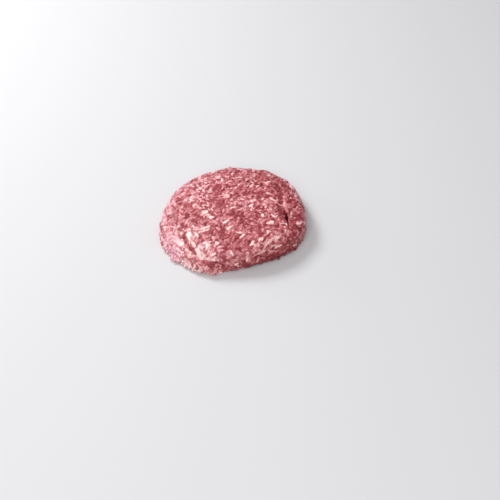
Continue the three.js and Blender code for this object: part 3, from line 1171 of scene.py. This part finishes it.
def colour_group():
    """The colour of raw beef, from dark lean through pink smear to white fat; its tint browns it, at
    the foot partly as painted shade, or turns it lilac, and its Shade darkens it as painted shade.
    """
    tree, given, put = new_group(
        "raw_beef_colour",
        {"Fatness": (NUMBER, 0.5), "Shade": (NUMBER, 0.0), "Tint": (NUMBER, 0.0)},
        {"Colour": COLOUR},
    )
    ramp = add_node(tree, "ValToRGB")
    ramp.color_ramp.elements.remove(ramp.color_ramp.elements[1])
    for place, colour in BEEF_COLOURS:
        element = ramp.color_ramp.elements.new(place)
        element.color = (*colour, 1)
    ramp.color_ramp.elements.remove(ramp.color_ramp.elements[0])
    tree.links.new(given["Fatness"], ramp.inputs["Fac"])
    brown_and_shade = spread(tree, given["Tint"], 0.0, FULL_BROWN_AND_SHADE, 1.0)
    lilac = spread(tree, sum_of(tree, "MULTIPLY", given["Tint"], -1.0), 0.0, 1.0, MOST_LILAC)
    colour = tinted(tree, ramp.outputs["Color"], brown_and_shade, BROWN_AND_SHADE_TINT)
    colour = tinted(tree, colour, lilac, LILAC_TINT)
    colour = tinted(tree, colour, given["Shade"], PAINTED_SHADE_TINT)
    tree.links.new(colour, put["Colour"])
    return tree


def film_group():
    """The moist, finely grained skin of cut meat, as a height and a roughness."""
    tree, given, put = new_group(
        "moist_film",
        {"Grain Size": (NUMBER, SKIN_GRAIN_MM), "Dryness": (NUMBER, 0.4)},
        {"Height": NUMBER, "Roughness": NUMBER},
    )
    places = millimetre_places(tree)
    rate = sum_of(tree, "DIVIDE", 1.0, given["Grain Size"])
    tree.links.new(noise(tree, places, rate, 4, 0.6).outputs["Fac"], put["Height"])
    patches = noise(tree, places, WET_PATCH_RATE, 3).outputs["Fac"]
    wet = spread(tree, patches, 0.35, 0.65, WET_PATCH_ROUGHNESS)
    tree.links.new(sum_of(tree, "ADD", wet, given["Dryness"]), put["Roughness"])
    return tree


def use_group(tree, group, values=None):
    """A group's node in a material, with plain values for its input sockets."""
    made = tree.nodes.new("ShaderNodeGroup")
    made.node_tree = group
    for key, value in (values or {}).items():
        made.inputs[key].default_value = value
    return made


def read_value(tree, name):
    """A value kept for each point of the mesh."""
    return add_node(tree, "Attribute", attribute_name=name).outputs["Fac"]


def pressed_mince(mosaic, colours, film):
    """The finish of the patty: moist raw meat, with painted shade in its pits and cracks."""
    material = bpy.data.materials.new("pressed_mince")
    material.use_nodes = True
    tree, shader = material.node_tree, material.node_tree.nodes["Principled BSDF"]
    bits = use_group(tree, mosaic, {"Bits": BIT_CONTRAST, "Fibres": FIBRE_CONTRAST})
    fatness = sum_of(tree, "ADD", read_value(tree, "fatness"), bits.outputs["Shift"])
    painted_crack_shade = spread(tree, read_value(tree, "cavity"), *CRACK_DEPTHS_MM, CRACK_SHADE)
    painted_pit_shade = spread(tree, read_value(tree, "depth"), *PIT_DEPTHS_MM, PIT_SHADE)
    meat = use_group(tree, colours)
    tree.links.new(fatness, meat.inputs["Fatness"])
    tree.links.new(read_value(tree, "tint"), meat.inputs["Tint"])
    tree.links.new(sum_of(tree, "MAXIMUM", painted_crack_shade, painted_pit_shade), meat.inputs["Shade"])
    tree.links.new(meat.outputs["Colour"], shader.inputs["Base Color"])
    wet = use_group(tree, film, {"Dryness": DRYNESS})
    tree.links.new(wet.outputs["Roughness"], shader.inputs["Roughness"])
    strength, distance = SKIN_GRAIN_STRENGTH, SKIN_GRAIN_DEPTH_MM * MM
    relief = add_node(tree, "Bump", {"Strength": strength, "Distance": distance})
    tree.links.new(wet.outputs["Height"], relief.inputs["Height"])
    tree.links.new(relief.outputs[0], shader.inputs["Normal"])
    for key, value in WET_SURFACE.items():
        shader.inputs[key].default_value = value
    return material


def pale_floor():
    """A matt pale surface."""
    material = bpy.data.materials.new("pale_floor")
    material.use_nodes = True
    shader = material.node_tree.nodes["Principled BSDF"]
    shader.inputs["Base Color"].default_value = FLOOR_COLOUR
    shader.inputs["Roughness"].default_value = FLOOR_ROUGHNESS
    return material


# The studio


def add_floor():
    corners = [(x * FLOOR_REACH, y * FLOOR_REACH, 0) for x, y in ((-1, -1), (1, -1), (1, 1), (-1, 1))]
    floor = make_object("floor", mesh_from("floor", corners, [(0, 1, 2, 3)]))
    floor.data.materials.append(pale_floor())
    floor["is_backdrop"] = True


def add_softbox(name, place, size, power):
    """A square lamp that faces the patty."""
    light = bpy.data.lights.new(name, "AREA")
    light.size = size
    light.energy = power
    lamp = make_object(name, light)
    lamp.location = place
    lamp.rotation_euler = (-Vector(place)).to_track_quat("-Z", "Y").to_euler()


def add_studio():
    add_floor()
    for lamp in LAMPS:
        add_softbox(*lamp)
    world = bpy.data.worlds.new("studio")
    world.use_nodes = True
    sky = world.node_tree.nodes["Background"]
    sky.inputs["Color"].default_value = SKY_COLOUR
    sky.inputs["Strength"].default_value = SKY_STRENGTH
    bpy.context.scene.world = world
    bpy.context.scene.view_settings.view_transform = "Standard"


# Making


def finish_piece(piece, material):
    """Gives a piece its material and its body."""
    piece.data.materials.clear()
    piece.data.materials.append(material)
    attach(piece, "root")


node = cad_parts[NODE]
draws = np.random.default_rng(SEED)
skin = Skin(node)
tones_and_painted_shade, tints_and_shade = placed_zones(skin, TONES_AND_PAINTED_SHADE), placed_zones(skin, TINTS_AND_SHADE)
patty = make_patty(node, skin, tones_and_painted_shade, tints_and_shade, draws)
skin.remove()

finish_piece(patty, pressed_mince(mosaic_group(), colour_group(), film_group()))
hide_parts(NODE)

add_camera()
add_studio()
VISUAL_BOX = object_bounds()
for box in (CAD_BOX, VISUAL_BOX):
    json.dumps([list(corner) for corner in box]) + "\n"
